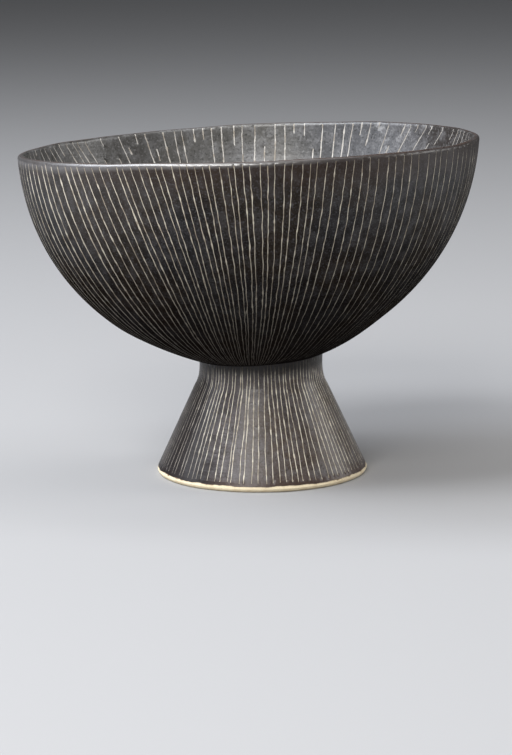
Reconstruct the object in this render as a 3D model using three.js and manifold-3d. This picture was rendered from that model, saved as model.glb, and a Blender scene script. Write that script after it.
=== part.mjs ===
// A stoneware bowl on a tall hollow foot. Bowl and foot are thrown separately, luted together at the neck and
// coated with dark slip, which is wiped off the ring that the pot stands on.
// Millimetres, +Z up. The origin is under the middle of the rim, on the surface that the pot stands on.
import * as THREE from "three";
import { mergeVertices } from "three/addons/utils/BufferGeometryUtils.js";
import Module from "manifold-3d";

const wasm = await Module();
wasm.setup();

// Bowl, measured over its coats and before it leaned
const rimRadius = 115.3;
const rimHeight = 165.8; // top of the wall, where the lip starts to turn over
const bowlBottomHeight = 53.9; // lowest point of the outer curve, inside the neck
const underside = 39.5; // how far the flat underside pulls the outer curve outwards
const belly = { radius: 109.2, height: 87.7 }; // pulls the wall upwards; it also sets how far the wall flares
const lipThickness = 3.4;
const floorThickness = 10.6; // at the middle
const floorSpread = 10.5; // how much further the flat of the inside floor reaches than the underside's
const innerRise = 13.94; // how far up the wall the inside curve's pull stands over the outside's

// Lean of the fired bowl on its foot
const riseToRight = 3.8; // height gained at the rim's +X side, and lost at its -X side
const dipAtBack = 2.1;
const waveAcross = -0.6; // two-lobed waves of the rim, along the axes and along the diagonals
const waveDiagonal = 0.5;
const leanStart = 60;
const leanDepth = 20; // height over which the lean grows to its full amount

// Foot, measured over its coats
const footOffset = 5.2; // the foot is luted on off the bowl's middle
const footRadius = 53.1; // outside, just over the bare ring
const neckRadius = 31.2;
const neckRise = 3; // how far the narrowest place lies over the bowl's lowest point
const neckBend = 12.4; // height over which the straight flare turns upright
const neckTurn = 0.216; // radius still to lose at the end of the flare, as a share of the height left
const neckSpread = 5; // how far the neck spreads again on its way into the bowl
const neckReach = 16; // height of that spread, most of it inside the bowl
const footWall = 7;
const ringHeight = 3; // bare clay showing under the coat
const ringBulge = 0.4; // how far the bare ring stands proud of the coat
const ringEdge = 1.9; // rounding of the bare ring's edges

// Layers
const coatThickness = 0.6;
const lutingThickness = 0.9;
const clearance = 0.3; // between pieces that touch
const bandOutside = 0.8; // how far the rim's own band comes down outside and inside
const bandInside = 0.8;

// Facets
const aroundSteps = 48;
const wallSteps = 9;
const lipSteps = 5;
const filletSteps = 4;

const clayUnderCoat = coatThickness + clearance;
const floorHeight = bowlBottomHeight + floorThickness;
const neckHeight = bowlBottomHeight + neckRise; // height of the narrowest place
const neckStart = neckHeight - neckBend;

// Points of a curve between two places along it, moved to the left of its direction by a distance.
function sampled(curve, steps, sideways = 0, from = 0, to = 1) {
  return Array.from({ length: steps + 1 }, (_, i) => {
    const place = THREE.MathUtils.lerp(from, to, i / steps);
    const point = curve.getPointAt(place);
    const tangent = curve.getTangentAt(place);
    return new THREE.Vector2(point.x - tangent.y * sideways, point.y + tangent.x * sideways);
  });
}

// A ring of (radius, height) points turned round the Z axis. Where it runs down the axis, it is opened there.
function turned(ring) {
  const points = ring.map((p) => new THREE.Vector2(Math.abs(p.x) < 1e-6 ? 0 : p.x, p.y));
  const first = points.findIndex((p, i) => p.x === 0 && points.at(i - 1).x === 0);
  const outline =
    first < 0
      ? [...points, points[0].clone()]
      : [...points.slice(first), ...points.slice(0, first)];
  return new THREE.LatheGeometry(outline, aroundSteps).rotateX(Math.PI / 2);
}

// The lean is a shear with two shallow waves, which grow with height.
function leaned(geometry) {
  const position = geometry.getAttribute("position");
  for (let i = 0; i < position.count; i++) {
    const x = position.getX(i) / rimRadius;
    const y = position.getY(i) / rimRadius;
    const z = position.getZ(i);
    const share = THREE.MathUtils.smoothstep(z, leanStart, leanStart + leanDepth);
    const wave = waveAcross * (x * x - y * y) + waveDiagonal * 2 * x * y;
    position.setZ(i, z + share * (riseToRight * x - dipAtBack * y + wave));
  }
  return geometry;
}

function asSolid(geometry) {
  const bare = geometry.clone();
  bare.deleteAttribute("normal");
  bare.deleteAttribute("uv");
  const merged = mergeVertices(bare, 1e-4);
  const mesh = new wasm.Mesh({
    numProp: 3,
    vertProperties: merged.getAttribute("position").array,
    triVerts: new Uint32Array(merged.index.array),
  });
  return new wasm.Manifold(mesh);
}

function piece(name, shape, material) {
  const solid = shape.isBufferGeometry ? asSolid(shape) : shape;
  const result = solid.getMesh();
  const geometry = new THREE.BufferGeometry();
  geometry.setAttribute("position", new THREE.BufferAttribute(result.vertProperties, 3));
  geometry.setIndex(new THREE.BufferAttribute(result.triVerts, 1));
  geometry.computeVertexNormals();
  const mesh = new THREE.Mesh(geometry, material);
  mesh.name = name;
  return mesh;
}

// The bowl's surface in section: up the outside, over the lip and down the inside to the middle of the floor.
function bowlCurves() {
  const rim = new THREE.Vector2(rimRadius, rimHeight);
  const pull = new THREE.Vector2(belly.radius, belly.height);
  const outside = new THREE.CubicBezierCurve(
    new THREE.Vector2(0, bowlBottomHeight),
    new THREE.Vector2(underside, bowlBottomHeight),
    pull,
    rim,
  );
  const upright = rim.clone().sub(pull).normalize();
  const inwards = new THREE.Vector2(-upright.y, upright.x);
  const lipRadius = lipThickness / 2;
  const lipMiddle = rim.clone().addScaledVector(inwards, lipRadius);
  const lipStart = Math.atan2(-inwards.y, -inwards.x);
  const lip = new THREE.EllipseCurve(
    lipMiddle.x,
    lipMiddle.y,
    lipRadius,
    lipRadius,
    lipStart,
    lipStart + Math.PI,
  );
  const lipInside = rim.clone().addScaledVector(inwards, lipThickness);
  const innerWall = rim.distanceTo(pull) - innerRise;
  const inside = new THREE.CubicBezierCurve(
    lipInside,
    lipInside.clone().addScaledVector(upright, -innerWall),
    new THREE.Vector2(underside + floorSpread, floorHeight),
    new THREE.Vector2(0, floorHeight),
  );
  return { outside, lip, inside };
}

// The foot's coated surface in section: up the flare, round the neck and on into the bowl.
function footCurves() {
  const base = new THREE.Vector2(footRadius, ringHeight);
  const flareTop = new THREE.Vector2(neckRadius + neckBend * neckTurn, neckStart);
  const slope = flareTop.clone().sub(base).normalize();
  const narrowest = new THREE.Vector2(neckRadius, neckHeight);
  const half = neckBend / 2;
  const flare = new THREE.LineCurve(base, flareTop);
  const neck = new THREE.CubicBezierCurve(
    flareTop,
    flareTop.clone().addScaledVector(slope, half),
    narrowest.clone().sub(new THREE.Vector2(0, half)),
    narrowest,
  );
  const spread = new THREE.QuadraticBezierCurve(
    narrowest,
    narrowest.clone().add(new THREE.Vector2(0, neckReach / 2)),
    narrowest.clone().add(new THREE.Vector2(neckSpread, neckReach)),
  );
  return { flare, neck, spread };
}

const bowl = bowlCurves();
const foot = footCurves();

const clay = new THREE.MeshStandardMaterial({ color: 0xd9c9a3, roughness: 0.85, metalness: 0 });
const darkSlip = new THREE.MeshStandardMaterial({ color: 0x3b393c, roughness: 0.45, metalness: 0.1 });
const rimSlip = new THREE.MeshStandardMaterial({ color: 0x4a3b33, roughness: 0.35, metalness: 0.15 });
const insideGlaze = new THREE.MeshStandardMaterial({ color: 0x5b5c60, roughness: 0.35, metalness: 0.1 });

// A coat over a stretch of a section: back along the side that lies on the clay, then along the side that shows.
function coat(showing, underneath) {
  return turned([...underneath.reverse(), ...showing]);
}

function bowlBody() {
  return leaned(
    turned([
      ...sampled(bowl.outside, wallSteps, clayUnderCoat),
      ...sampled(bowl.lip, lipSteps, clayUnderCoat).slice(1),
      ...sampled(bowl.inside, wallSteps, clayUnderCoat).slice(1),
    ]),
  );
}

// The neck's bulk grown by the clearance, in the bowl's frame. It opens the bowl's coat where the foot is luted on.
function neckBulk() {
  const outline = [
    new THREE.Vector2(0, 0),
    new THREE.Vector2(neckRadius + clearance, 0),
    ...sampled(foot.spread, filletSteps, -clearance),
    new THREE.Vector2(neckRadius + neckSpread + clearance, footTop + clearance),
    new THREE.Vector2(0, footTop + clearance),
  ];
  return asSolid(turned(outline).translate(footOffset, 0, 0));
}

function bowlOuterCoat() {
  const end = 1 - bandOutside / bowl.outside.getLength();
  const whole = coat(
    sampled(bowl.outside, wallSteps, 0, 0, end),
    sampled(bowl.outside, wallSteps, coatThickness, 0, end),
  );
  return asSolid(leaned(whole)).subtract(neckBulk());
}

function rimBand() {
  const outsideStart = 1 - (bandOutside - clearance) / bowl.outside.getLength();
  const insideEnd = (bandInside - clearance) / bowl.inside.getLength();
  const stretch = (sideways) => [
    ...sampled(bowl.outside, 1, sideways, outsideStart, 1),
    ...sampled(bowl.lip, lipSteps, sideways).slice(1),
    ...sampled(bowl.inside, 1, sideways, 0, insideEnd).slice(1),
  ];
  return leaned(coat(stretch(0), stretch(coatThickness)));
}

function bowlInnerCoat() {
  const start = bandInside / bowl.inside.getLength();
  const stretch = (sideways) => sampled(bowl.inside, wallSteps, sideways, start, 1);
  return leaned(coat(stretch(0), stretch(coatThickness)));
}

// The bowl's bulk in the foot's frame, grown by a distance past its clay.
function aroundBowl(growth) {
  const outline = [
    ...sampled(bowl.outside, wallSteps, clayUnderCoat - growth),
    new THREE.Vector2(0, rimHeight),
  ];
  return asSolid(leaned(turned(outline)).translate(-footOffset, 0, 0));
}

const footTop = neckHeight + neckReach;
const hollowNeckRadius = neckRadius - clayUnderCoat - footWall;
const hollowWall = new THREE.LineCurve(
  new THREE.Vector2(footRadius - clayUnderCoat - footWall, ringHeight),
  new THREE.Vector2(hollowNeckRadius, neckHeight),
);

// The foot's clay as if it ran on into the bowl, before it is fitted under it.
function footClay() {
  const ringOutside = footRadius + ringBulge - ringEdge;
  const ringInside = hollowWall.v1.x + ringEdge;
  const edge = (middle, from) =>
    new THREE.EllipseCurve(middle, ringEdge, ringEdge, ringEdge, from, from + Math.PI / 2);
  const outline = [
    ...sampled(edge(ringInside, Math.PI), filletSteps),
    ...sampled(edge(ringOutside, -Math.PI / 2), filletSteps),
    new THREE.Vector2(footRadius, ringHeight - clearance),
    ...sampled(foot.flare, 1, clayUnderCoat),
    ...sampled(foot.neck, filletSteps, clayUnderCoat).slice(1),
    ...sampled(foot.spread, filletSteps, clayUnderCoat).slice(1),
    new THREE.Vector2(hollowNeckRadius, footTop),
    ...sampled(hollowWall, 1).reverse(),
  ];
  return asSolid(turned(outline));
}

function footBody() {
  return footClay().subtract(aroundBowl(lutingThickness + 2 * clearance));
}

// The layer of slip that sticks the foot's top edge to the bowl.
function lutingSlip() {
  return footClay()
    .intersect(aroundBowl(lutingThickness + clearance))
    .subtract(aroundBowl(clearance));
}

function footOuterCoat() {
  const stretch = (sideways) => [
    ...sampled(foot.flare, 1, sideways),
    ...sampled(foot.neck, filletSteps, sideways).slice(1),
    ...sampled(foot.spread, filletSteps, sideways).slice(1),
  ];
  return asSolid(coat(stretch(0), stretch(coatThickness))).subtract(aroundBowl(clearance));
}

// The space in the foot up to the bowl, with its walls moved in. It starts at a place along the hollow's wall.
function hollowSpace(inset, start) {
  const wall = sampled(hollowWall, 1, inset, start, 1);
  const outline = [
    new THREE.Vector2(0, wall[0].y),
    ...wall,
    new THREE.Vector2(hollowNeckRadius - inset, footTop),
    new THREE.Vector2(0, footTop),
  ];
  return asSolid(turned(outline)).subtract(aroundBowl(inset));
}

// It covers the hollow's wall and the bowl's underside inside it, and stops above the bare ring.
function footInnerCoat() {
  return hollowSpace(clearance, 0).subtract(hollowSpace(clayUnderCoat, -1));
}

const bowlGroup = new THREE.Group();
bowlGroup.add(
  piece("bowl_body", bowlBody(), clay),
  piece("bowl_outer_coat", bowlOuterCoat(), darkSlip),
  piece("rim_band", rimBand(), rimSlip),
  piece("bowl_inner_coat", bowlInnerCoat(), insideGlaze),
);

const footGroup = new THREE.Group();
footGroup.position.x = footOffset;
footGroup.add(
  piece("foot_body", footBody(), clay),
  piece("foot_outer_coat", footOuterCoat(), darkSlip),
  piece("foot_inner_coat", footInnerCoat(), darkSlip),
  piece("luting_slip", lutingSlip(), clay),
);

const footedBowl = new THREE.Group();
footedBowl.add(bowlGroup, footGroup);

export default footedBowl;
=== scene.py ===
import math

import bmesh
import bpy
import numpy as np
from mathutils import Matrix, Vector


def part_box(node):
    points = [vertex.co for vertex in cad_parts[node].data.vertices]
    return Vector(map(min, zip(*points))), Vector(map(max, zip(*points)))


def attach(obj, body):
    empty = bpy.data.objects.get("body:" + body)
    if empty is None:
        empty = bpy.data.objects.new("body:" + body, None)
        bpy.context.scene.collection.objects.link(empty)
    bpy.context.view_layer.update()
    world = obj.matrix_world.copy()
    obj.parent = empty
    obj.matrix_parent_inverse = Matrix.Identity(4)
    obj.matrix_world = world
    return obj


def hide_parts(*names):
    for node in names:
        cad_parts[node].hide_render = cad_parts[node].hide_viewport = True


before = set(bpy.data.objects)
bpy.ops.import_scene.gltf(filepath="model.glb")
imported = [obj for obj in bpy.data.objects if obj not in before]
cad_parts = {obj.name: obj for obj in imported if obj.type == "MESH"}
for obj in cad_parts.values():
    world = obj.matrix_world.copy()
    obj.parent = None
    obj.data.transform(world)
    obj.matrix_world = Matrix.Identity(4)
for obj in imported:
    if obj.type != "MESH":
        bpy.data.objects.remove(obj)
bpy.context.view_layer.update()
mm = 0.001
degree = math.pi / 180
weldDistance = 1e-6  # metres
print("frame loaded")


# Camera, at the photograph's viewing angle

view = {
    "place": (2.6, -1344.3, 302.6),  # millimetres
    "downwards": 10.73,  # degrees
    "roll": -0.6,
    "lens": 128.2,
    "sensor": 36,
    "farthest": 100,  # metres
}

camera = bpy.data.objects.new("camera", bpy.data.cameras.new("camera"))
camera.data.sensor_width = view["sensor"]
camera.data.lens = view["lens"]
camera.data.clip_end = view["farthest"]
tilt = Matrix.Rotation(math.radians(90 - view["downwards"]), 4, "X")
camera.matrix_world = (Matrix.Translation([c * mm for c in view["place"]]) @ tilt
                       @ Matrix.Rotation(math.radians(view["roll"]), 4, "Z"))
bpy.context.scene.collection.objects.link(camera)
bpy.context.scene.camera = camera


# Nodes as expressions

class Value:
    def __init__(self, nodes, socket):
        self.nodes = nodes
        self.socket = socket

    def maths(self, operation, *others):
        return self.nodes.make("ShaderNodeMath", self, *others, operation=operation)

    def __add__(self, other):
        return self.maths("ADD", other)

    def __sub__(self, other):
        return self.maths("SUBTRACT", other)

    def __mul__(self, other):
        return self.maths("MULTIPLY", other)

    def __truediv__(self, other):
        return self.maths("DIVIDE", other)

    def __pow__(self, other):
        return self.maths("POWER", other)

    def __gt__(self, other):
        return self.maths("GREATER_THAN", other)

    def __lt__(self, other):
        return self.maths("LESS_THAN", other)

    def __neg__(self):
        return self * -1

    def __rsub__(self, other):
        return -self + other

    def __rtruediv__(self, other):
        return self.nodes.make("ShaderNodeMath", other, self, operation="DIVIDE")

    __radd__ = __add__
    __rmul__ = __mul__


class Nodes:
    def __init__(self, tree):
        self.tree = tree

    # Settings come first, then the inputs by place and by name.
    def make(self, kind, *inputs, out=0, named=None, **settings):
        node = self.tree.nodes.new(kind)
        for key, value in settings.items():
            setattr(node, key, value)
        for place, value in [*enumerate(inputs), *(named or {}).items()]:
            if isinstance(value, Value):
                self.tree.links.new(value.socket, node.inputs[place])
            elif value is not None:
                node.inputs[place].default_value = value
        return Value(self, node.outputs[out]) if node.outputs else None


def clamp(value, low=0.0, high=1.0):
    if isinstance(value, Value):
        return value.maths("MAXIMUM", low).maths("MINIMUM", high)
    return np.clip(value, low, high)


def cosine(value):
    return value.maths("COSINE") if isinstance(value, Value) else np.cos(value)


def sine(value):
    return value.maths("SINE") if isinstance(value, Value) else np.sin(value)


def root(value):
    return value.maths("SQRT") if isinstance(value, Value) else np.sqrt(value)


def mix(a, b, share):
    return a + (b - a) * share


def smooth(value, low, high):
    share = clamp((value - low) / (high - low))
    return share * share * (3 - 2 * share)


# The pot's form, in millimetres

footLow, footHigh = (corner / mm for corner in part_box("foot_outer_coat"))
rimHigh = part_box("rim_band")[1] / mm

form = {
    "rimRadius": rimHigh.x,
    "rimHeight": 165.8,
    "bottomHeight": 53.9,
    "underside": 39.5,
    "bellyRadius": 109.2,
    "bellyHeight": 87.7,
    "lipThickness": 3.4,
    "floorThickness": 10.6,
    "floorSpread": 10.5,
    "innerRise": 13.94,
    "riseToRight": 3.8,
    "dipAtBack": 2.1,
    "waveAcross": -0.6,
    "waveDiagonal": 0.5,
    "leanStart": 60.0,
    "leanDepth": 20.0,
    "footOffset": (footLow.x + footHigh.x) / 2,
    "footRadius": (footHigh.x - footLow.x) / 2,
    "ringHeight": 3.0,
    "ringBulge": 0.4,
    "ringEdge": 1.9,
    "neckRadius": 31.2,
    "neckRise": 3.0,
    "neckBend": 12.4,
    "neckTurn": 0.216,
    "neckSpread": 5.0,
    "neckReach": 16.0,
    "footWall": 7.0,
    "coat": 0.6,
    "coatGap": 0.3,
    "luting": 1.5,  # between the foot's top and the bowl's clay
    "coatOverLip": 1.8,  # how far round the lip the outside coat and the inside glaze reach
    "glazeOverLip": 1.7,
    "lipRipple": 0.12,  # how far the thrown rim wavers, and how far down
    "rippleDepth": 30.0,
    "neckHole": 0.5,  # how much wider than the neck the hole in the bowl's coat is
    "slipStart": 0.1,  # height of the foot's slip over the bare ring, and how far its edge wavers
    "slipWaver": 0.16,
    "slipInset": 1.0,  # the foot's slip ends this far out from the neck, and this far into the bowl
    "slipEnd": 0.4,
    "slipThinning": 3.0,  # height over which the foot's slip grows to its full thickness
    "slipThinnest": 0.4,  # share of that thickness at its edge
}
# Waves round an edge: how many, where they start, and how strong
rimWaves = [(7, 1.1, 1.0), (11, 2.3, 0.7), (19, 0.4, 0.5)]
slipEdgeWaves = [(9, 0.7, 1.0), (23, 2.1, 0.8), (41, 4.4, 0.6)]
slopeStep = 0.2
clayUnderCoat = form["coat"] + form["coatGap"]


def bezier(t, points):
    u = 1 - t
    uu = u * u
    tt = t * t
    return uu * u * points[0] + uu * t * (3 * points[1]) + u * tt * (3 * points[2]) + tt * t * points[3]


def bezierSlope(t, points):
    u = 1 - t
    a, b, c = (3 * (points[i + 1] - points[i]) for i in range(3))
    return u * u * a + u * t * (2 * b) + t * t * c


rimPoint = np.array([form["rimRadius"], form["rimHeight"]])
bellyPoint = np.array([form["bellyRadius"], form["bellyHeight"]])
wallPull = float(np.linalg.norm(rimPoint - bellyPoint))
innerWallPull = wallPull - form["innerRise"]
upright = (rimPoint - bellyPoint) / wallPull
inwards = np.array([-upright[1], upright[0]])
lipHalf = form["lipThickness"] / 2
lipMiddle = rimPoint + inwards * lipHalf
lipTop = form["rimHeight"] + lipHalf
lipInside = rimPoint + inwards * form["lipThickness"]
innerPull = lipInside - upright * innerWallPull
floorHeight = form["bottomHeight"] + form["floorThickness"]
neckHeight = form["bottomHeight"] + form["neckRise"]
neckStart = neckHeight - form["neckBend"]

outerCurve = {
    "radius": [0.0, form["underside"], form["bellyRadius"], form["rimRadius"]],
    "height": [form["bottomHeight"], form["bottomHeight"], form["bellyHeight"], form["rimHeight"]],
}
innerCurve = {
    "radius": [0.0, form["underside"] + form["floorSpread"], innerPull[0], lipInside[0]],
    "height": [floorHeight, floorHeight, innerPull[1], lipInside[1]],
}


def waves(bend, angle, edge):
    return sum(bend(angle * count + start) * strength for count, start, strength in edge)


# The fired bowl leans and waves a little, more so towards the rim.
def leaned(x, y, z, angle):
    across = x / form["rimRadius"]
    along = y / form["rimRadius"]
    diagonal = form["waveDiagonal"] * 2 * across * along
    wave = form["waveAcross"] * (across * across - along * along) + diagonal
    lean = form["riseToRight"] * across - form["dipAtBack"] * along + wave
    nearRim = smooth(z, form["rimHeight"] - form["rippleDepth"], form["rimHeight"])
    rise = smooth(z, form["leanStart"], form["leanStart"] + form["leanDepth"]) * lean
    return z + rise + nearRim * waves(cosine, angle, rimWaves) * form["lipRipple"]


def alongCurve(curve, t, depth, side):
    slopeRadius = bezierSlope(t, curve["radius"])
    slopeHeight = bezierSlope(t, curve["height"])
    length = root(slopeRadius * slopeRadius + slopeHeight * slopeHeight)
    radius = bezier(t, curve["radius"]) - side * depth * slopeHeight / length
    height = bezier(t, curve["height"]) + side * depth * slopeRadius / length
    return radius, height


def onLip(turn, depth):
    out = cosine(turn) * (lipHalf - depth)
    up = sine(turn) * (lipHalf - depth)
    radius = lipMiddle[0] - inwards[0] * out + upright[0] * up
    height = lipMiddle[1] - inwards[1] * out + upright[1] * up
    return radius, height


# Share of the outer curve at which its radius is reached
def outerPlace(radius):
    t = radius / (3 * form["underside"])
    for _ in range(3):
        t = t - (bezier(t, outerCurve["radius"]) - radius) / bezierSlope(t, outerCurve["radius"])
    return t


# A curve of the wall that runs on over the lip. Past its end, t goes round the lip at the same pace.
def overLip(curve, pull, t, depth, side):
    past = clamp(t - 1, 0, 1) * (3 * pull / lipHalf)
    start = 0.0 if side > 0 else math.pi
    radius, height = alongCurve(curve, clamp(t), depth, side)
    lipRadius, lipHeight = onLip(past * side + start, depth)
    startRadius, startHeight = onLip(past * 0 + start, depth)
    return radius + lipRadius - startRadius, height + lipHeight - startHeight


# Each surface gives radius and height for a share along it, with a depth under its face. The angle sets where
# it ends at the neck's joint.
def outsideOfBowl(share, angle, depth):
    hole = form["neckRadius"] + form["neckHole"]
    turn = sine(angle) * form["footOffset"]
    start = outerPlace(cosine(angle) * form["footOffset"] + root(hole * hole - turn * turn))
    t = mix(start, 1 + form["coatOverLip"] / (3 * wallPull), share)
    return overLip(outerCurve, wallPull, t, depth, 1)


def insideOfBowl(share, angle, depth):
    end = 1 + form["glazeOverLip"] / (3 * innerWallPull)
    return overLip(innerCurve, innerWallPull, share * end, depth, -1)


flareTopRadius = form["neckRadius"] + form["neckBend"] * form["neckTurn"]
flareSlope = (flareTopRadius - form["footRadius"]) / (neckStart - form["ringHeight"])


def footRadiusAt(height):
    pull = flareTopRadius + form["neckBend"] / 2 * flareSlope / math.hypot(1, flareSlope)
    flare = form["footRadius"] + (height - form["ringHeight"]) * flareSlope
    t = clamp((height - neckStart) / form["neckBend"])
    neck = bezier(t, [flareTopRadius, pull, form["neckRadius"], form["neckRadius"]])
    reach = clamp((height - neckHeight) / form["neckReach"])
    above = (height > neckStart) * 1.0
    return flare * (1 - above) + (neck + reach * reach * form["neckSpread"]) * above


def footSlopeAt(height):
    return (footRadiusAt(height + slopeStep) - footRadiusAt(height - slopeStep)) / (2 * slopeStep)


# Height of the bowl's outer face over a place in the foot's frame
def underBowl(radius, angle):
    across = cosine(angle) * radius + form["footOffset"]
    along = sine(angle) * radius
    return bezier(outerPlace(root(across * across + along * along)), outerCurve["height"])


def outsideOfFoot(share, angle, depth):
    low = form["ringHeight"] + form["slipStart"] + waves(sine, angle, slipEdgeWaves) * form["slipWaver"]
    high = underBowl(form["neckRadius"] + form["slipInset"], angle) + form["slipEnd"]
    height = mix(low, high, share)
    slope = footSlopeAt(height)
    length = root(slope * slope + 1)
    feather = clamp((height - low) / form["slipThinning"])
    under = depth * mix(form["slipThinnest"], 1.0, feather)
    return footRadiusAt(height) - under / length, height + under * slope / length


# Materials

def newMaterial(name):
    material = bpy.data.materials.new(name)
    material.use_nodes = True
    material.node_tree.nodes.clear()
    return material, Nodes(material.node_tree)


def finished(nodes, **sockets):
    shader = nodes.make("ShaderNodeBsdfPrincipled", named=sockets)
    nodes.make("ShaderNodeOutputMaterial", shader)


def noise(nodes, place, scale, detail=3.0, roughness=0.55):
    return nodes.make("ShaderNodeTexNoise", named={"Vector": place, "Scale": scale, "Detail": detail,
                                                   "Roughness": roughness})


def blend(nodes, share, a, b):
    return nodes.make("ShaderNodeMix", named={0: share, 6: a, 7: b}, out=2, data_type="RGBA")


def stretched(nodes, place, scale):
    return nodes.make("ShaderNodeMapping", place, named={"Scale": scale})


def bumped(nodes, height):
    return nodes.make("ShaderNodeBump", named={"Strength": 1.0, "Distance": mm, "Height": height})


# From 0 to 1 between two places in millimetres
def within(value, places):
    return smooth(value, places[0] * mm, places[1] * mm)


# Each fade takes the colour over to another one between two places along an axis, in millimetres.
def faded(nodes, place, colour, fades, uneven):
    for axis, other, start, end, most, ragged in fades:
        along = nodes.make("ShaderNodeSeparateXYZ", place, out="xyz".index(axis)) + uneven * (ragged * mm)
        colour = blend(nodes, within(along, (start, end)) * most, colour, other)
    return colour


# Where a noise starts to show in a colour, and how fast. With a minus sign its low places show.
onsets = {
    "warm": (0.42, 6), "mottle": (0.47, 5), "blooms": (0.56, 9), "blots": (0.47, -6), "pits": (0.46, -7),
    "specks": (0.55, 8), "cut": (0.42, 6), "stain": (0.46, 7), "clayPits": (0.42, -7),
}


def onset(value, pattern):
    start, gain = onsets[pattern]
    return clamp((value - start) * gain)


# Height on the bowl as it was before the rim leaned over
def levelHeight(nodes, place):
    x, y, z = (nodes.make("ShaderNodeSeparateXYZ", place, out=axis) for axis in range(3))
    return z - x * (form["riseToRight"] / form["rimRadius"]) + y * (form["dipAtBack"] / form["rimRadius"])


# Where slip shines and where the white blooms lie, in millimetres to the right or up
shine = {
    "bloomStart": (45, 75), "bloomEnd": (84, 97), "sides": (20, 95), "wall": (100, 170), "wallRagged": 30,
    "lipWidens": (45, 100), "lipFades": (10, 75), "lipFade": 0.8, "lipSmoothing": 0.15, "smoothest": 0.15,
}


def slipMaterial(name, look):
    material, nodes = newMaterial(name)
    place = nodes.make("ShaderNodeTexCoord", out=3)
    across = nodes.make("ShaderNodeSeparateXYZ", place, out=0)
    cloud = noise(nodes, place, look["cloudScale"])
    mottle = noise(nodes, place, look["mottleScale"], detail=4.0, roughness=0.6)
    grain = noise(nodes, place, look["grainScale"], detail=2.0)
    speck = noise(nodes, place, look["speckScale"], detail=2.0, roughness=0.5)
    rings = noise(nodes, stretched(nodes, place, look["ringStretch"]), look["ringScale"], detail=2.0)
    colour = blend(nodes, onset(cloud, "warm"), look["cool"], look["warm"])
    # Painted shade under the mottling, from the look's base fades.
    colour = faded(nodes, place, colour, look["baseShadeFades"], cloud - 0.5)
    colour = blend(nodes, onset(mottle, "mottle") * look["mottle"], colour, look["pale"])
    if look["blooms"]:
        bloom = noise(nodes, place, look["bloomScale"], detail=4.0, roughness=0.7)
        reach = within(across, shine["bloomStart"]) * (1 - within(across, shine["bloomEnd"]))
        colour = blend(nodes, onset(bloom, "blooms") * reach * look["blooms"], colour, look["speckColour"])
    colour = blend(nodes, onset(mottle, "blots") * look["blots"], colour, look["dark"])
    colour = blend(nodes, onset(grain, "pits") * look["pits"], colour, look["dark"])
    colour = blend(nodes, onset(speck, "specks") * look["specks"], colour, look["speckColour"])
    # The look's fades: painted shade, and the own brown of the rim and of the slip's lower edge.
    colour = faded(nodes, place, colour, look["fades"], mottle - 0.5)
    if look["cut"]:
        cut = nodes.make("ShaderNodeAttribute", attribute_name="cut", out=2)
        # The clay in the grooves takes painted shade from the look's cut fades.
        cutColour = faded(nodes, place, look["cutColour"], look["cutShadeFades"], mottle - 0.5)
        colour = blend(nodes, onset(cut + (grain - 0.5) * look["cutRagged"], "cut"), colour, cutColour)
    roughness = look["roughness"] + (mottle - 0.5) * look["roughnessVary"]
    roughness = roughness + (grain - 0.5) * look["grainRoughness"]
    bump = bumped(nodes, rings * look["ringBump"] + mottle * look["mottleBump"] + grain * look["grainBump"])
    level = levelHeight(nodes, place)
    glossy = within(across.maths("ABSOLUTE"), shine["sides"]) * look["sideSheen"]
    ragged = (mottle - 0.5) * (shine["wallRagged"] * mm)
    sheen = within(level + ragged, shine["wall"]) * (glossy + look["wallSheen"])
    spread = within(-across, shine["lipWidens"]) * (look["lipSpread"] * mm)
    lipStart = (form["rimHeight"] - look["lipDepth"]) * mm - spread
    lipSheen = smooth(level, lipStart, lipTop * mm) * look["lipSheen"]
    lipSheen = lipSheen * (1 - within(across, shine["lipFades"]) * shine["lipFade"])
    smoothed = clamp(roughness - lipSheen * shine["lipSmoothing"], shine["smoothest"], 1.0)
    finished(nodes, **{"Base Color": colour, "Roughness": smoothed, "Normal": bump,
                       "Specular IOR Level": look["specular"], "Coat Weight": clamp(sheen + lipSheen),
                       "Coat Roughness": look["sheenRoughness"], "Coat IOR": look["sheenIor"]})
    return material


def clayMaterial(name, look):
    material, nodes = newMaterial(name)
    place = nodes.make("ShaderNodeTexCoord", out=3)
    stain = noise(nodes, place, look["stainScale"])
    grain = noise(nodes, place, look["grainScale"])
    colour = blend(nodes, onset(stain, "stain") * look["stain"], look["pale"], look["brown"])
    colour = blend(nodes, onset(grain, "clayPits") * look["specks"], colour, look["dark"])
    # Fades: painted shade on the scratched clay; on the bare ring, its own brown edge.
    colour = faded(nodes, place, colour, look["fades"], stain - 0.5)
    roughness = clamp(look["roughness"] + (grain - 0.5) * look["grainRoughness"])
    bump = bumped(nodes, grain * look["grainBump"] + stain * look["stainBump"])
    finished(nodes, **{"Base Color": colour, "Roughness": roughness, "Normal": bump,
                       "Specular IOR Level": look["specular"]})
    return material
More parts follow.
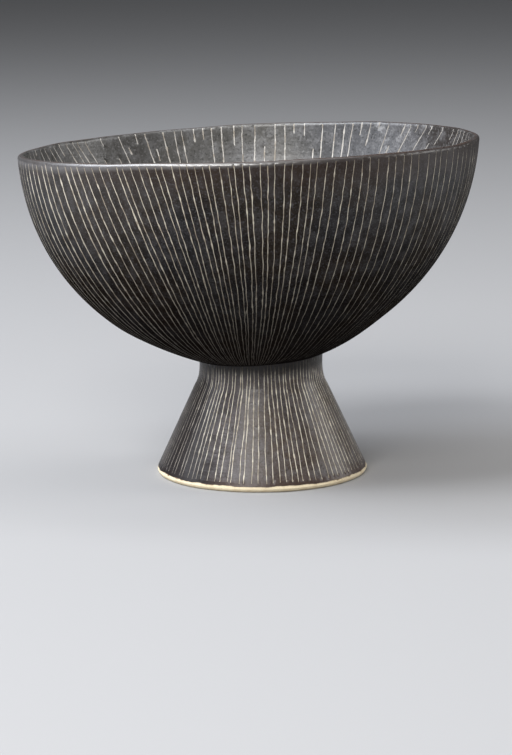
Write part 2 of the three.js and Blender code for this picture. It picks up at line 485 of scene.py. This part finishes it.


# Fades: axis, colour, start and end along the axis, greatest share, and how ragged the edge is. They hold
# shading, and not the pot's own colour, except for the brown of the rim, the ring and the slip's lower edge.
# Painted shade: the bowl's scratched clay darkens towards the underside.
linePaintedShade = ("z", (0.022, 0.016, 0.012, 1), 155, 58, 0.98, 0)
# Painted shade: the scratched clay inside darkens towards the right.
insideLinePaintedShade = ("x", (0.24, 0.22, 0.20, 1), 30, 70, 0.6, 20)
# Painted shade: the foot's scratched clay darkens on its left flank and near the neck's top, under the bowl.
footLinePaintedShades = [
    ("x", (0.20, 0.18, 0.165, 1), -13, -32, 0.8, 0),
    ("z", (0.02, 0.014, 0.012, 1), 51, 58, 0.9, 0),
]
bowlSlipLook = {
    "cool": (0.0215, 0.0205, 0.022, 1), "warm": (0.025, 0.019, 0.015, 1), "pale": (0.060, 0.057, 0.059, 1),
    "dark": (0.006, 0.005, 0.004, 1), "speckColour": (0.17, 0.175, 0.20, 1),
    "cutColour": (0.42, 0.36, 0.26, 1),
    "baseShadeFades": [],
    "fades": [
        # Painted shade darkens the slip towards the underside; the fade after it is the rim's own brown.
        ("z", (0.006, 0.004, 0.003, 1), 155, 60, 0.85, 10),
        ("z", (0.045, 0.026, 0.020, 1), 152, 167, 0.3, 10),
    ],
    # The clay in the grooves darkens downwards with the lines: painted shade.
    "cut": True, "cutRagged": 0.5, "cutShadeFades": [linePaintedShade],
    "wallSheen": 0.055, "sideSheen": 0.23, "lipSheen": 1.0, "lipDepth": 0.8, "lipSpread": 4.0,
    "sheenRoughness": 0.41, "sheenIor": 2.7, "specular": 0.0,
    "roughness": 0.5, "roughnessVary": 0.25, "grainRoughness": 0.2,
    "cloudScale": 24.0, "mottleScale": 150.0, "grainScale": 800.0, "speckScale": 1100.0, "bloomScale": 60.0,
    "ringScale": 420.0, "ringStretch": (0.06, 0.06, 1.0),
    "mottle": 0.6, "blots": 0.5, "pits": 0.7, "specks": 0.25, "blooms": 0.0,
    "ringBump": 0.2, "mottleBump": 0.16, "grainBump": 0.07,
}
footSlipLook = dict(
    bowlSlipLook,
    cool=(0.084, 0.073, 0.075, 1), warm=(0.088, 0.067, 0.056, 1), pale=(0.14, 0.13, 0.135, 1),
    dark=(0.022, 0.017, 0.014, 1), speckColour=(0.26, 0.26, 0.28, 1),
    specular=0.3, roughness=0.36, wallSheen=0.0, sideSheen=0.0, lipSheen=0.0, ringBump=0.3,
    cutShadeFades=footLinePaintedShades,
    fades=[
        # The first fade is the slip's own brown at its lower edge; the next two are painted shade, darker on
        # the foot's left flank and near the neck's top, under the bowl.
        ("z", (0.055, 0.030, 0.022, 1), 8, 3, 0.75, 3),
        ("x", (0.012, 0.009, 0.009, 1), -12, -27, 0.9, 8),
        ("z", (0.008, 0.006, 0.005, 1), 51, 58, 0.88, 0),
    ],
)
lipLook = dict(
    bowlSlipLook,
    cool=(0.050, 0.030, 0.024, 1), warm=(0.065, 0.034, 0.022, 1), specks=0.1, cut=False, fades=[],
    roughness=0.3, specular=0.6, wallSheen=0.0, sideSheen=0.0, lipSheen=0.5,
    ringBump=0.02, mottleBump=0.05, grainBump=0.02,
)
insideLook = dict(
    bowlSlipLook,
    cool=(0.180, 0.180, 0.186, 1), warm=(0.118, 0.114, 0.107, 1), pale=(0.25, 0.25, 0.26, 1),
    dark=(0.04, 0.04, 0.038, 1), speckColour=(0.45, 0.45, 0.46, 1), cutColour=(0.55, 0.50, 0.42, 1),
    mottle=0.4, blots=0.28, specks=0.2, blooms=0.8, speckScale=700.0, cloudScale=17.0,
    roughness=0.34, specular=0.5, wallSheen=0.0, sideSheen=0.0, lipSheen=0.12, lipDepth=3.0,
    ringBump=0.08, mottleBump=0.22, fades=[], cutShadeFades=[insideLinePaintedShade],
    baseShadeFades=[
        # Painted shade across the glaze: darker at the left end and right of the middle, less so further
        # right, near black-brown at the right end.
        ("x", (0.050, 0.046, 0.042, 1), -22, -76, 0.88, 20),
        ("x", (0.085, 0.086, 0.094, 1), 12, 45, 0.8, 25),
        ("x", (0.110, 0.106, 0.112, 1), 66, 84, 0.7, 25),
        ("x", (0.026, 0.020, 0.017, 1), 84, 98, 0.93, 10),
    ],
)
lineLook = {
    "pale": (0.80, 0.74, 0.62, 1), "brown": (0.30, 0.25, 0.19, 1), "dark": (0.10, 0.075, 0.055, 1),
    "stainScale": 230.0, "grainScale": 1500.0, "stain": 0.75, "specks": 0.5,
    "roughness": 0.8, "grainRoughness": 0.3, "specular": 0.3, "grainBump": 0.06, "stainBump": 0.02,
    "fades": [],
}
# Painted shade: the bowl's scratched clay is a darker, browner copy of the other lines' clay, and darkens
# downwards.
bowlLineShadedLook = dict(lineLook, pale=(0.62, 0.57, 0.475, 1), stain=0.85, fades=[linePaintedShade])
insideLineLook = dict(
    lineLook,
    pale=(0.74, 0.71, 0.66, 1), brown=(0.34, 0.28, 0.21, 1), fades=[insideLinePaintedShade],
)
footLineLook = dict(lineLook, fades=footLinePaintedShades)
bareLook = dict(
    lineLook,
    pale=(0.82, 0.71, 0.51, 1), brown=(0.70, 0.57, 0.38, 1), dark=(0.3, 0.22, 0.15, 1),
    stain=0.6, specks=0.3,
    fades=[("z", (0.10, 0.055, 0.035, 1), 2.6, 3.2, 0.9, 2.5)],
)

bowlSlip = slipMaterial("bowlSlip", bowlSlipLook)
footSlip = slipMaterial("footSlip", footSlipLook)
lipSlip = slipMaterial("lipSlip", lipLook)
# The hollow's slip keeps the foot slip's fades, painted shade among them.
hollowSlip = slipMaterial("hollowSlip", dict(footSlipLook, cut=False))
insideGlaze = slipMaterial("insideGlaze", insideLook)
bowlLineClay = clayMaterial("bowlLineClay", bowlLineShadedLook)
footLineClay = clayMaterial("footLineClay", footLineLook)
insideLineClay = clayMaterial("insideLineClay", insideLineLook)
bareClay = clayMaterial("bareClay", bareLook)
print("materials made")


# Finishing and checking a piece

sharpAngle = 40  # degrees


def finish(piece, node, turned=False):
    mesh = piece.data
    work = bmesh.new()
    work.from_mesh(mesh)
    bmesh.ops.remove_doubles(work, verts=work.verts, dist=weldDistance)
    bmesh.ops.delete(work, geom=[edge for edge in work.edges if edge.is_wire], context="EDGES")
    if turned:
        bmesh.ops.reverse_faces(work, faces=work.faces)
    volume = work.calc_volume(signed=True) * 1e6
    loose = sum(not edge.is_manifold for edge in work.edges)
    triangles = sum(len(face.verts) - 2 for face in work.faces)
    work.to_mesh(mesh)
    work.free()
    mesh.shade_smooth()
    mesh.set_sharp_from_angle(angle=math.radians(sharpAngle))
    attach(piece, "root")
    if node:
        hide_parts(node)
    print(f"{piece.name}: {triangles} triangles, {volume:.2f} cm3, {loose} open edges")


# Scratched coats and the scratches in them. Around the pot, each line has a few columns of points.

stroke = {
    "narrow": 0.38, "vary": 0.9, "bead": 0.8, "beadStart": 0.56, "beadGain": 7,  # width along a line
    "lightHand": 0.75, "handSpread": 0.3,  # width from line to line
    "widest": 0.22,  # most of the space from line to line that half a line takes
    "slowDrift": 4, "steadyRise": 3,  # strength of the slow bends, and how soon a steady middle ends
    "driftRadius": 12.0,  # millimetres, within which a line drifts no further round
    "shortReach": 0.4, "liftReach": 0.5,  # short lines' own lengths and heights
    "endGain": 150, "bottomInset": 0.38,  # the groove's ends and its narrower bottom
    "clayWidth": 0.86, "clayTop": 0.1, "clayDeep": 0.26,  # the clay in it, as a share and in millimetres
    "clayStart": 16, "clayEnd": 24,
    "noiseStride": 17.3,  # keeps the lines' noises apart
    "leastRadius": 0.5,  # millimetres, so that the middle divides nothing by 0
}


class Tree(Nodes):
    def __init__(self, name, sizes):
        super().__init__(bpy.data.node_groups.new(name, "GeometryNodeTree"))
        self.sizes = sizes
        sockets = self.tree.interface
        sockets.new_socket("Geometry", in_out="INPUT", socket_type="NodeSocketGeometry")
        sockets.new_socket("Geometry", in_out="OUTPUT", socket_type="NodeSocketGeometry")
        for size, value in sizes.items():
            kind = "NodeSocketInt" if isinstance(value, int) else "NodeSocketFloat"
            sockets.new_socket(size, in_out="INPUT", socket_type=kind)
        self.inputs = self.tree.nodes.new("NodeGroupInput").outputs

    def size(self, name):
        return Value(self, self.inputs[name])

    def random(self, line, salt):
        place = self.make("ShaderNodeCombineXYZ", line, salt, self.size("Seed"))
        return self.make("ShaderNodeTexWhiteNoise", named={"Vector": place})

    def softly(self, line, along, salt):
        own = line * stroke["noiseStride"]
        place = self.make("ShaderNodeCombineXYZ", own, along, self.size("Seed") + salt)
        return self.make("ShaderNodeTexNoise", named={"Vector": place, "Scale": 1.0, "Detail": 2.0})

    # A grid with so many columns for each line: line number, column within the line, and row of each point
    def grid(self, lines, columns, extra, rows):
        grid = self.make("GeometryNodeMeshGrid", 1.0, 1.0, lines * columns + (extra + 0.5), rows + 0.5)
        index = self.make("GeometryNodeInputIndex")
        column = ((index + 0.5) / rows).maths("FLOOR")
        number = ((column + 0.5) / columns).maths("FLOOR")
        return grid, number, column - number * columns, index - column * rows

    def place(self, geometry, radius, height, angle, centre, leans):
        x = radius * cosine(angle)
        y = radius * sine(angle)
        z = leaned(x, y, height, angle) if leans else height
        place = self.make("ShaderNodeCombineXYZ", (x + centre) * mm, y * mm, z * mm)
        return self.make("GeometryNodeSetPosition", geometry, None, place)

    def built(self, name, geometry, material):
        real = self.make("GeometryNodeRealizeInstances", geometry)
        dressed = self.make("GeometryNodeSetMaterial", real, None, material)
        self.make("NodeGroupOutput", dressed)
        piece = bpy.data.objects.new(name, bpy.data.meshes.new(name))
        bpy.context.scene.collection.objects.link(piece)
        modifier = piece.modifiers.new("make", "NODES")
        modifier.node_group = self.tree
        for item in self.tree.interface.items_tree:
            if item.in_out == "INPUT" and item.name in self.sizes:
                modifier[item.identifier] = self.sizes[item.name]
        evaluated = piece.evaluated_get(bpy.context.evaluated_depsgraph_get())
        mesh = bpy.data.meshes.new_from_object(evaluated)
        piece.modifiers.clear()
        piece.data = mesh
        return piece


# 1 in the wanted columns, and 0 in the others
def either(part, *wanted):
    tolerance = 0.1
    return sum(part.maths("COMPARE", column, tolerance) for column in wanted)


# What one scratched line does: where it runs, how wide it is and where it stops
class Line:
    def __init__(self, tree, number):
        size = tree.size
        self.tree = tree
        self.own = number.maths("FLOORED_MODULO", size("Lines"))
        self.step = (2 * math.pi) / size("Lines")
        even = (number + (tree.random(self.own, 1) - 0.5) * size("Uneven")) * self.step
        self.angle = even - sine((even - size("Close At") * degree) * 2) * size("Closeness")
        sparse = self.near("Sparse") * size("Sparse Share")
        short = tree.random(self.own, 4) < size("Short Share") + sparse
        reach = tree.random(self.own, 2)
        lift = reach + stroke["liftReach"]
        lifted = (tree.random(self.own, 5) < 0.5) * short * size("Short Length") * lift
        longLow = mix(size("Low End"), size("Low Spread"), reach * reach)
        shortLow = 1 - size("Short Length") * (reach + stroke["shortReach"])
        self.low = mix(longLow, shortLow, short) - lifted
        highEnd = size("High End") + self.near("Wide") * size("Wide Gap")
        self.high = 1 - highEnd - size("High Spread") * tree.random(self.own, 3) - lifted

    # 1 where the line runs through a place, fading out over the reach on both sides of it
    def near(self, place):
        size = self.tree.size
        away = (self.angle - size(place + " At") * degree).maths("WRAP", math.pi, -math.pi)
        far = away / (size(place + " Reach") * degree)
        return (far * far * -1).maths("EXPONENT")

    # The hand pulls lines aside on their way down from the rim, most of all around a few places.
    def pull(self, below):
        size = self.tree.size
        places = ("First Pull", "Second Pull", "Third Pull")
        turn = sum(self.near(place) * size(place) * degree for place in places)
        left = 1 - clamp(below / size("Pull Height"))
        return turn * (1 - left * root(left))

    def drift(self, share):
        size = self.tree.size
        slow = self.tree.softly(self.own, share * size("Slow Bends"), 10) - 0.5
        quick = self.tree.softly(self.own, share * size("Quick Bends"), 20) - 0.5
        steady = size("Steady Middle") * (1 - clamp(share * stroke["steadyRise"]))
        return (slow * stroke["slowDrift"] * size("Wander") + quick * size("Shake")) * (1 - steady)

    def halfWidth(self, share):
        vary = self.tree.softly(self.own, share * self.tree.size("Beads"), 30)
        bead = clamp((vary - stroke["beadStart"]) * stroke["beadGain"])
        hand = self.tree.random(self.own, 6) * stroke["handSpread"] + stroke["lightHand"]
        pressed = self.near("Wide") * self.tree.size("Wide Share") + 1
        along = stroke["narrow"] + vary * stroke["vary"] + bead * stroke["bead"]
        return self.tree.size("Width") * 0.5 * hand * pressed * along

    def turn(self, share, radius, side):
        wide = (self.halfWidth(share) / radius).maths("MINIMUM", self.step * stroke["widest"])
        return self.drift(share) / radius.maths("MAXIMUM", stroke["driftRadius"]) + wide * side

    def covers(self, share):
        return clamp((share - self.low) * stroke["endGain"]) * clamp((self.high - share) * stroke["endGain"])


# Rows lie closer together towards the end of a face, by the lip.
def crowded(share, tree):
    return 1 - (1 - share) ** tree.size("Row Crowding")


# Columns for each line: the groove's edges (0 and 3) and bottom corners (1 and 2), and the land beside it
# (4). The rows run up the face, and back along the side that lies on the clay.
def scratchedCoat(name, sizes, surface, top, centre, leans, ends, material):
    tree = Tree(name + "Tree", sizes)
    faceRows, backRows = tree.size("Face Rows"), tree.size("Back Rows")
    rows = faceRows + backRows + ends
    grid, number, part, row = tree.grid(tree.size("Lines"), 5, 1, rows)
    beforeBack, beforeEnd = row < faceRows - 0.5, row < faceRows + backRows - 0.5
    back = beforeEnd - beforeBack
    face = crowded(clamp(row / (faceRows - 1)) * beforeEnd, tree)
    share = mix(face, 1 - (row - faceRows) / (backRows - 1), back)
    line, following = Line(tree, number), Line(tree, number + 1)
    land, bottom = either(part, 4), either(part, 1, 2)
    groove = bottom * line.covers(share) * (1 - back)
    depth = mix(groove * tree.size("Groove Depth"), tree.size("Thickness"), back)
    straight = mix(line.angle, following.angle, land * 0.5)
    radius, height = surface(share, straight, depth)
    side = (either(part, 2, 3) * 2 - 1) * (1 - bottom * stroke["bottomInset"])
    below = top - height
    ownTurn = line.turn(share, radius.maths("MAXIMUM", stroke["leastRadius"]), side)
    landDrift = (line.drift(share) + following.drift(share)) * 0.5
    landTurn = landDrift / radius.maths("MAXIMUM", stroke["driftRadius"])
    pulled = mix(line.pull(below), (line.pull(below) + following.pull(below)) * 0.5, land)
    angle = straight + mix(ownTurn, landTurn, land) + pulled
    shape = tree.place(grid, radius, height, angle, centre, leans)
    shape = tree.make("GeometryNodeStoreNamedAttribute", shape, named={"Name": "cut", "Value": groove},
                      data_type="FLOAT", domain="POINT")
    return tree.built(name, shape, material)


# Columns for each line: its left, right and bottom corners, and the left one again to close it
def scratches(name, sizes, surface, top, centre, leans, material):
    tree = Tree(name + "Tree", sizes)
    rows = tree.size("Face Rows")
    grid, number, part, row = tree.grid(tree.size("Lines"), 4, 0, rows)
    line = Line(tree, number)
    share = clamp(crowded(row / (rows - 1), tree), line.low, line.high)
    step = (share - line.low) / (line.high - line.low)
    taper = root(clamp(step * stroke["clayStart"]) * clamp((1 - step) * stroke["clayEnd"]))
    side = either(part, 1) - either(part, 0, 3)
    depth = tree.size("Clay Depth") + mix(stroke["clayTop"], either(part, 2) * stroke["clayDeep"], taper)
    radius, height = surface(share, line.angle, depth)
    turn = line.turn(share, radius, side * taper * stroke["clayWidth"])
    angle = line.angle + turn + line.pull(top - height)
    shape = tree.place(grid, radius, height, angle, centre, leans)
    faceColumn = ((tree.make("GeometryNodeInputIndex") + 0.5) / (rows - 1)).maths("FLOOR")
    between = either(faceColumn.maths("FLOORED_MODULO", 4), 3)
    shape = tree.make("GeometryNodeDeleteGeometry", shape, between, domain="FACE")
    shape = tree.make("GeometryNodeMergeByDistance", shape, None, weldDistance)
    return tree.built(name, shape, material)


# Places round the pot, reaches and pulls in degrees, widths, depths, bends' strengths and the pull height in
# millimetres, and the lines' ends as shares of the face
bowlLines = {
    "Lines": 148, "Seed": 7, "Face Rows": 98, "Back Rows": 28, "Row Crowding": 1.6,
    "Closeness": 0.12, "Close At": 265.0, "Uneven": 0.34,
    "Width": 0.52, "Wide Share": 1.25, "Wide At": 202.0, "Wide Reach": 30.0, "Wide Gap": 0.002,
    "Groove Depth": 0.2, "Clay Depth": 0.02, "Thickness": form["coat"],
    "Wander": 0.4, "Shake": 1.1, "Slow Bends": 2.5, "Quick Bends": 24.0, "Beads": 46.0, "Steady Middle": 0.0,
    "Low End": 0.0, "Low Spread": 0.03, "High End": 0.0025, "High Spread": 0.006,
    "Short Share": 0.0, "Short Length": 0.1, "Sparse Share": 0.0, "Sparse At": 35.0, "Sparse Reach": 30.0,
    "Pull Height": 80.0,
    "First Pull": 9.3, "First Pull At": 233.0, "First Pull Reach": 31.0,
    "Second Pull": -2.3, "Second Pull At": 288.0, "Second Pull Reach": 14.0,
    "Third Pull": -6.0, "Third Pull At": 75.0, "Third Pull Reach": 32.0,
}
insideLines = dict(bowlLines, **{
    "Lines": 126, "Seed": 21, "Face Rows": 110, "Back Rows": 32, "Closeness": 0.0, "Steady Middle": 1.0,
    "Width": 0.85, "Wide Share": 0.0, "Wide Gap": 0.0,
    "Low End": 0.45, "Low Spread": 0.8, "High End": 0.0, "High Spread": 0.003,
    "Short Share": 0.34, "Short Length": 0.05, "Sparse Share": 0.4,
    "Pull Height": 45.0, "First Pull": -12.6, "First Pull At": 155.0, "First Pull Reach": 35.0,
    "Second Pull": 13.5, "Second Pull At": 25.0, "Second Pull Reach": 25.0,
    "Third Pull": 5.0, "Third Pull At": 280.0, "Third Pull Reach": 30.0,
})
footLines = dict(bowlLines, **{
    "Lines": 98, "Seed": 33, "Face Rows": 60, "Back Rows": 16, "Row Crowding": 1.0, "Closeness": 0.0,
    "Uneven": 0.55, "Width": 0.62, "Wide Share": 0.0, "Wide Gap": 0.0,
    "Slow Bends": 1.5, "Quick Bends": 6.0, "Beads": 18.0,
    "Low End": 0.02, "Low Spread": 0.03, "High End": 0.0, "High Spread": 0.02,
    "First Pull": 0.0, "Second Pull": 0.0, "Third Pull": 0.0,
})

offset = form["footOffset"]
rimTop = form["rimHeight"]
bowlCoat = scratchedCoat("bowlSlipCoat", bowlLines, outsideOfBowl, rimTop, 0.0, True, 1, bowlSlip)
finish(bowlCoat, "bowl_outer_coat")
bowlScratches = scratches("bowlScratches", bowlLines, outsideOfBowl, rimTop, 0.0, True, bowlLineClay)
finish(bowlScratches, None)
insideCoat = scratchedCoat("insideGlazeCoat", insideLines, insideOfBowl, rimTop, 0.0, True, 0, insideGlaze)
finish(insideCoat, "bowl_inner_coat", turned=True)
insideScratches = scratches("insideScratches", insideLines, insideOfBowl, rimTop, 0.0, True, insideLineClay)
finish(insideScratches, None, turned=True)
footCoat = scratchedCoat("footSlipCoat", footLines, outsideOfFoot, neckHeight, offset, False, 1, footSlip)
finish(footCoat, "foot_outer_coat")
footScratches = scratches("footScratches", footLines, outsideOfFoot, neckHeight, offset, False, footLineClay)
finish(footScratches, None)
print("coats scratched")


# Turned pieces. A ring gives the radii and heights of one section, at an angle.

turnedSizes = {
    "around": 256, "along": 40, "lip": 12, "ringArc": 8,  # points
    "wallStart": 0.6,  # millimetres: how far under the ring's top the foot's wall starts
    "underEdge": 0.28,  # depth of the clay under the slip's lower edge, and the height to its full depth
    "underReach": 4.0,
    "hollowStart": 2.5,  # height of the hollow wall's start, and how far over the ring its slip starts
    "liningStart": 0.6,
}
ringWaves = [(5, 1, 0.12), (13, 0, 0.08)]
liningWaves = [(6, 2, 0.3)]


def turnedPiece(name, ring, material, centre, leans):
    angles = np.arange(turnedSizes["around"]) * (2 * math.pi / turnedSizes["around"])
    sections = [np.broadcast_arrays(*ring(angle)) for angle in angles]
    radius = np.array([section[0] for section in sections])
    height = np.array([section[1] for section in sections])
    turn = angles[:, None]
    x = radius * np.cos(turn)
    y = radius * np.sin(turn)
    z = leaned(x, y, height, turn) if leans else height
    points = np.stack([x + centre, y, z], -1).reshape(-1, 3) * mm
    around, along = radius.shape
    here, there = np.divmod(np.arange(around * along), along)
    nextHere, nextThere = (here + 1) % around, (there + 1) % along
    faces = np.stack([here * along + there, nextHere * along + there, nextHere * along + nextThere,
                      here * along + nextThere], -1)
    mesh = bpy.data.meshes.new(name)
    mesh.from_pydata(points.tolist(), [], faces.tolist())
    mesh.materials.append(material)
    piece = bpy.data.objects.new(name, mesh)
    bpy.context.scene.collection.objects.link(piece)
    return piece


def joined(*stretches):
    radii, heights = zip(*(np.broadcast_arrays(*stretch) for stretch in stretches))
    return np.concatenate(radii), np.concatenate(heights)


def backwards(stretch):
    radius, height = np.broadcast_arrays(*stretch)
    return radius[::-1], height[::-1]


shares = np.linspace(0, 1, turnedSizes["along"])


def bowlClay(angle):
    turns = np.linspace(0, math.pi, 2 * turnedSizes["lip"])[1:-1]
    return joined(alongCurve(outerCurve, shares, clayUnderCoat, 1), onLip(turns, clayUnderCoat),
                  backwards(alongCurve(innerCurve, shares, clayUnderCoat, -1)))


def rimSection(angle):
    quarter = lipHalf * math.pi / 2
    up = 1 + np.linspace(form["coatOverLip"], quarter, turnedSizes["lip"]) / (3 * wallPull)
    down = 1 + np.linspace(quarter, form["glazeOverLip"], turnedSizes["lip"])[1:] / (3 * innerWallPull)

    def faceAt(depth):
        outside = overLip(outerCurve, wallPull, up, depth, 1)
        inside = overLip(innerCurve, innerWallPull, down, depth, -1)
        return joined(outside, inside)

    return joined(faceAt(0.0), backwards(faceAt(form["coat"])))


def hollowRadiusAt(height):
    low = form["footRadius"] - clayUnderCoat - form["footWall"]
    high = form["neckRadius"] - clayUnderCoat - form["footWall"]
    return mix(low, high, clamp((height - form["ringHeight"]) / (neckHeight - form["ringHeight"])))


def footClay(angle):
    edge = form["ringEdge"]
    bulge = form["footRadius"] + form["ringBulge"] - edge
    inner = hollowRadiusAt(0.0) + edge
    arc = np.linspace(0, math.pi / 2, turnedSizes["ringArc"])
    outerEdge = (bulge + waves(sine, angle, ringWaves) + edge * np.sin(arc), edge - edge * np.cos(arc))
    innerEdge = (inner - edge * np.cos(arc), edge - edge * np.sin(arc))
    top = underBowl(form["neckRadius"], angle) + clayUnderCoat - form["luting"] - form["coatGap"]
    heights = mix(form["ringHeight"] - turnedSizes["wallStart"], top, shares)
    slope = footSlopeAt(heights)
    deeper = clamp((heights - form["ringHeight"]) / turnedSizes["underReach"])
    under = mix(turnedSizes["underEdge"], clayUnderCoat, deeper)
    outside = (footRadiusAt(heights) - under / np.sqrt(slope * slope + 1), heights)
    inside = mix(turnedSizes["hollowStart"], top, shares)
    return joined(innerEdge, outerEdge, outside, backwards((hollowRadiusAt(inside), inside)))


def hollowCoat(angle):
    inset = form["coatGap"]
    low = form["ringHeight"] + turnedSizes["liningStart"] + waves(sine, angle, liningWaves)
    topRadius = hollowRadiusAt(neckHeight)
    wallTop = underBowl(topRadius, angle) + clayUnderCoat - inset

    def faceAt(depth):
        wall = mix(low, wallTop - depth, shares)
        across = (1 - shares) * (topRadius - inset - depth)
        ceiling = (across, underBowl(across, angle) + clayUnderCoat - inset - depth)
        return joined((hollowRadiusAt(wall) - inset - depth, wall), ceiling)

    return joined(faceAt(0.0), backwards(faceAt(form["coat"])))


bowlBody = turnedPiece("bowlClay", bowlClay, bareClay, 0.0, True)
finish(bowlBody, "bowl_body")
rimBand = turnedPiece("rimBand", rimSection, lipSlip, 0.0, True)
finish(rimBand, "rim_band")
footBody = turnedPiece("footClay", footClay, bareClay, offset, False)
finish(footBody, "foot_body")
hollow = turnedPiece("hollowSlipCoat", hollowCoat, hollowSlip, offset, False)
finish(hollow, "foot_inner_coat")
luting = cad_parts["luting_slip"]
luting.data.materials.clear()
luting.data.materials.append(bareClay)
print("turned pieces made")


# Floor and light

ground = {
    "halfWidth": 12, "front": -4, "back": 20,  # metres
    "lit": (0.3, 0.3, 0.3, 1), "seen": (0.425, 0.425, 0.435, 1), "roughness": 0.8,
}
floorCorners = [(-ground["halfWidth"], ground["front"], 0), (ground["halfWidth"], ground["front"], 0),
                (ground["halfWidth"], ground["back"], 0), (-ground["halfWidth"], ground["back"], 0)]
floorMesh = bpy.data.meshes.new("floor")
floorMesh.from_pydata(floorCorners, [], [(0, 1, 2, 3)])
floor = bpy.data.objects.new("floor", floorMesh)
bpy.context.scene.collection.objects.link(floor)
floorMaterial, floorNodes = newMaterial("paleFloor")
rays = ("Is Camera Ray", "Is Glossy Ray", "Is Transmission Ray")
seen = clamp(sum(floorNodes.make("ShaderNodeLightPath", out=ray) for ray in rays))
floorColour = blend(floorNodes, seen, ground["lit"], ground["seen"])
finished(floorNodes, **{"Base Color": floorColour, "Roughness": ground["roughness"]})
floorMesh.materials.append(floorMaterial)

lamps = {
    "key": {"place": (-1.31, -0.92, 2.14), "size": (1.0, 1.0), "power": 43, "colour": (0.96, 0.98, 1.0)},
    "high": {"place": (-1.58, 0.28, 2.0), "size": (0.9, 1.5), "power": 26, "colour": (0.90, 0.94, 1.0)},
    "left": {"place": (-2.16, 0.0, 1.2), "size": (1.0, 1.5), "power": 18, "colour": (0.86, 0.91, 1.0)},
    "front": {"place": (-0.65, -2.05, 1.5), "size": (1.3, 0.9), "power": 43, "colour": (1.0, 0.98, 0.95)},
    "overhead": {"place": (0.1, 0.3, 2.1), "size": (2.6, 0.5), "power": 10, "colour": (1.0, 1.0, 1.0)},
    "right": {"place": (2.1, 0.3, 0.8), "size": (1.1, 1.1), "power": 18, "colour": (1.0, 0.99, 0.97)},
}
lampAim = Vector((0, 0, 0.09))  # metres
for name, lamp in lamps.items():
    light = bpy.data.lights.new(name, "AREA")
    light.shape = "RECTANGLE"
    light.size, light.size_y = lamp["size"]
    light.energy = lamp["power"]
    light.color = lamp["colour"]
    holder = bpy.data.objects.new(name, light)
    holder.location = lamp["place"]
    holder.rotation_euler = (holder.location - lampAim).to_track_quat("Z", "Y").to_euler()
    bpy.context.scene.collection.objects.link(holder)

surroundings = {"colour": (0.8, 0.82, 0.85, 1), "strength": 0.13}
world = bpy.data.worlds.new("softWorld")
world.use_nodes = True
background = world.node_tree.nodes["Background"]
background.inputs[0].default_value = surroundings["colour"]
background.inputs[1].default_value = surroundings["strength"]
bpy.context.scene.world = world
bpy.context.scene.view_settings.view_transform = "Standard"
print("floor and light set")
